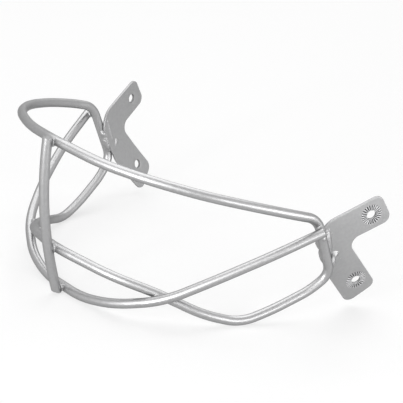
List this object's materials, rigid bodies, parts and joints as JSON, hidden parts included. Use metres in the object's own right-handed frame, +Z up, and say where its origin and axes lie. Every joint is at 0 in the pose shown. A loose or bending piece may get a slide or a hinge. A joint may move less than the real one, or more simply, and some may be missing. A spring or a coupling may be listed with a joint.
{
  "type": "softball face guard",
  "caption": "Welded wire face guard for a batting helmet, with a jaw rod, a centre rod and a screw plate at each side.",
  "frame": {"origin": "under the middle of the guard, on the table that it stands on", "axes": "+Z up, -Y towards the front of the face, +X towards the wearer's left"},
  "size_m": [0.2078, 0.1476, 0.0875],
  "materials": {
    "rod_paint": "satin silver paint on drawn steel wire",
    "plate_paint": "satin silver paint on stamped steel plate",
    "weld_paint": "satin silver paint on weld metal"
  },
  "bodies": {
    "root": {"perimeter_rod": "rod_paint", "jaw_rod": "rod_paint", "centre_rod": "rod_paint", "weld_centre_top": "weld_paint", "weld_centre_low": "weld_paint", "weld_centre_jaw": "weld_paint", "left_plate": "plate_paint", "right_plate": "plate_paint", "weld_crossing_left": "weld_paint", "weld_crossing_right": "weld_paint", "weld_jaw_end_left": "weld_paint", "weld_jaw_end_right": "weld_paint", "weld_leg_front_left": "weld_paint", "weld_leg_front_right": "weld_paint", "weld_leg_rear_left": "weld_paint", "weld_leg_rear_right": "weld_paint", "weld_leg_top_left": "weld_paint", "weld_leg_top_right": "weld_paint"}
  },
  "joints": []
}
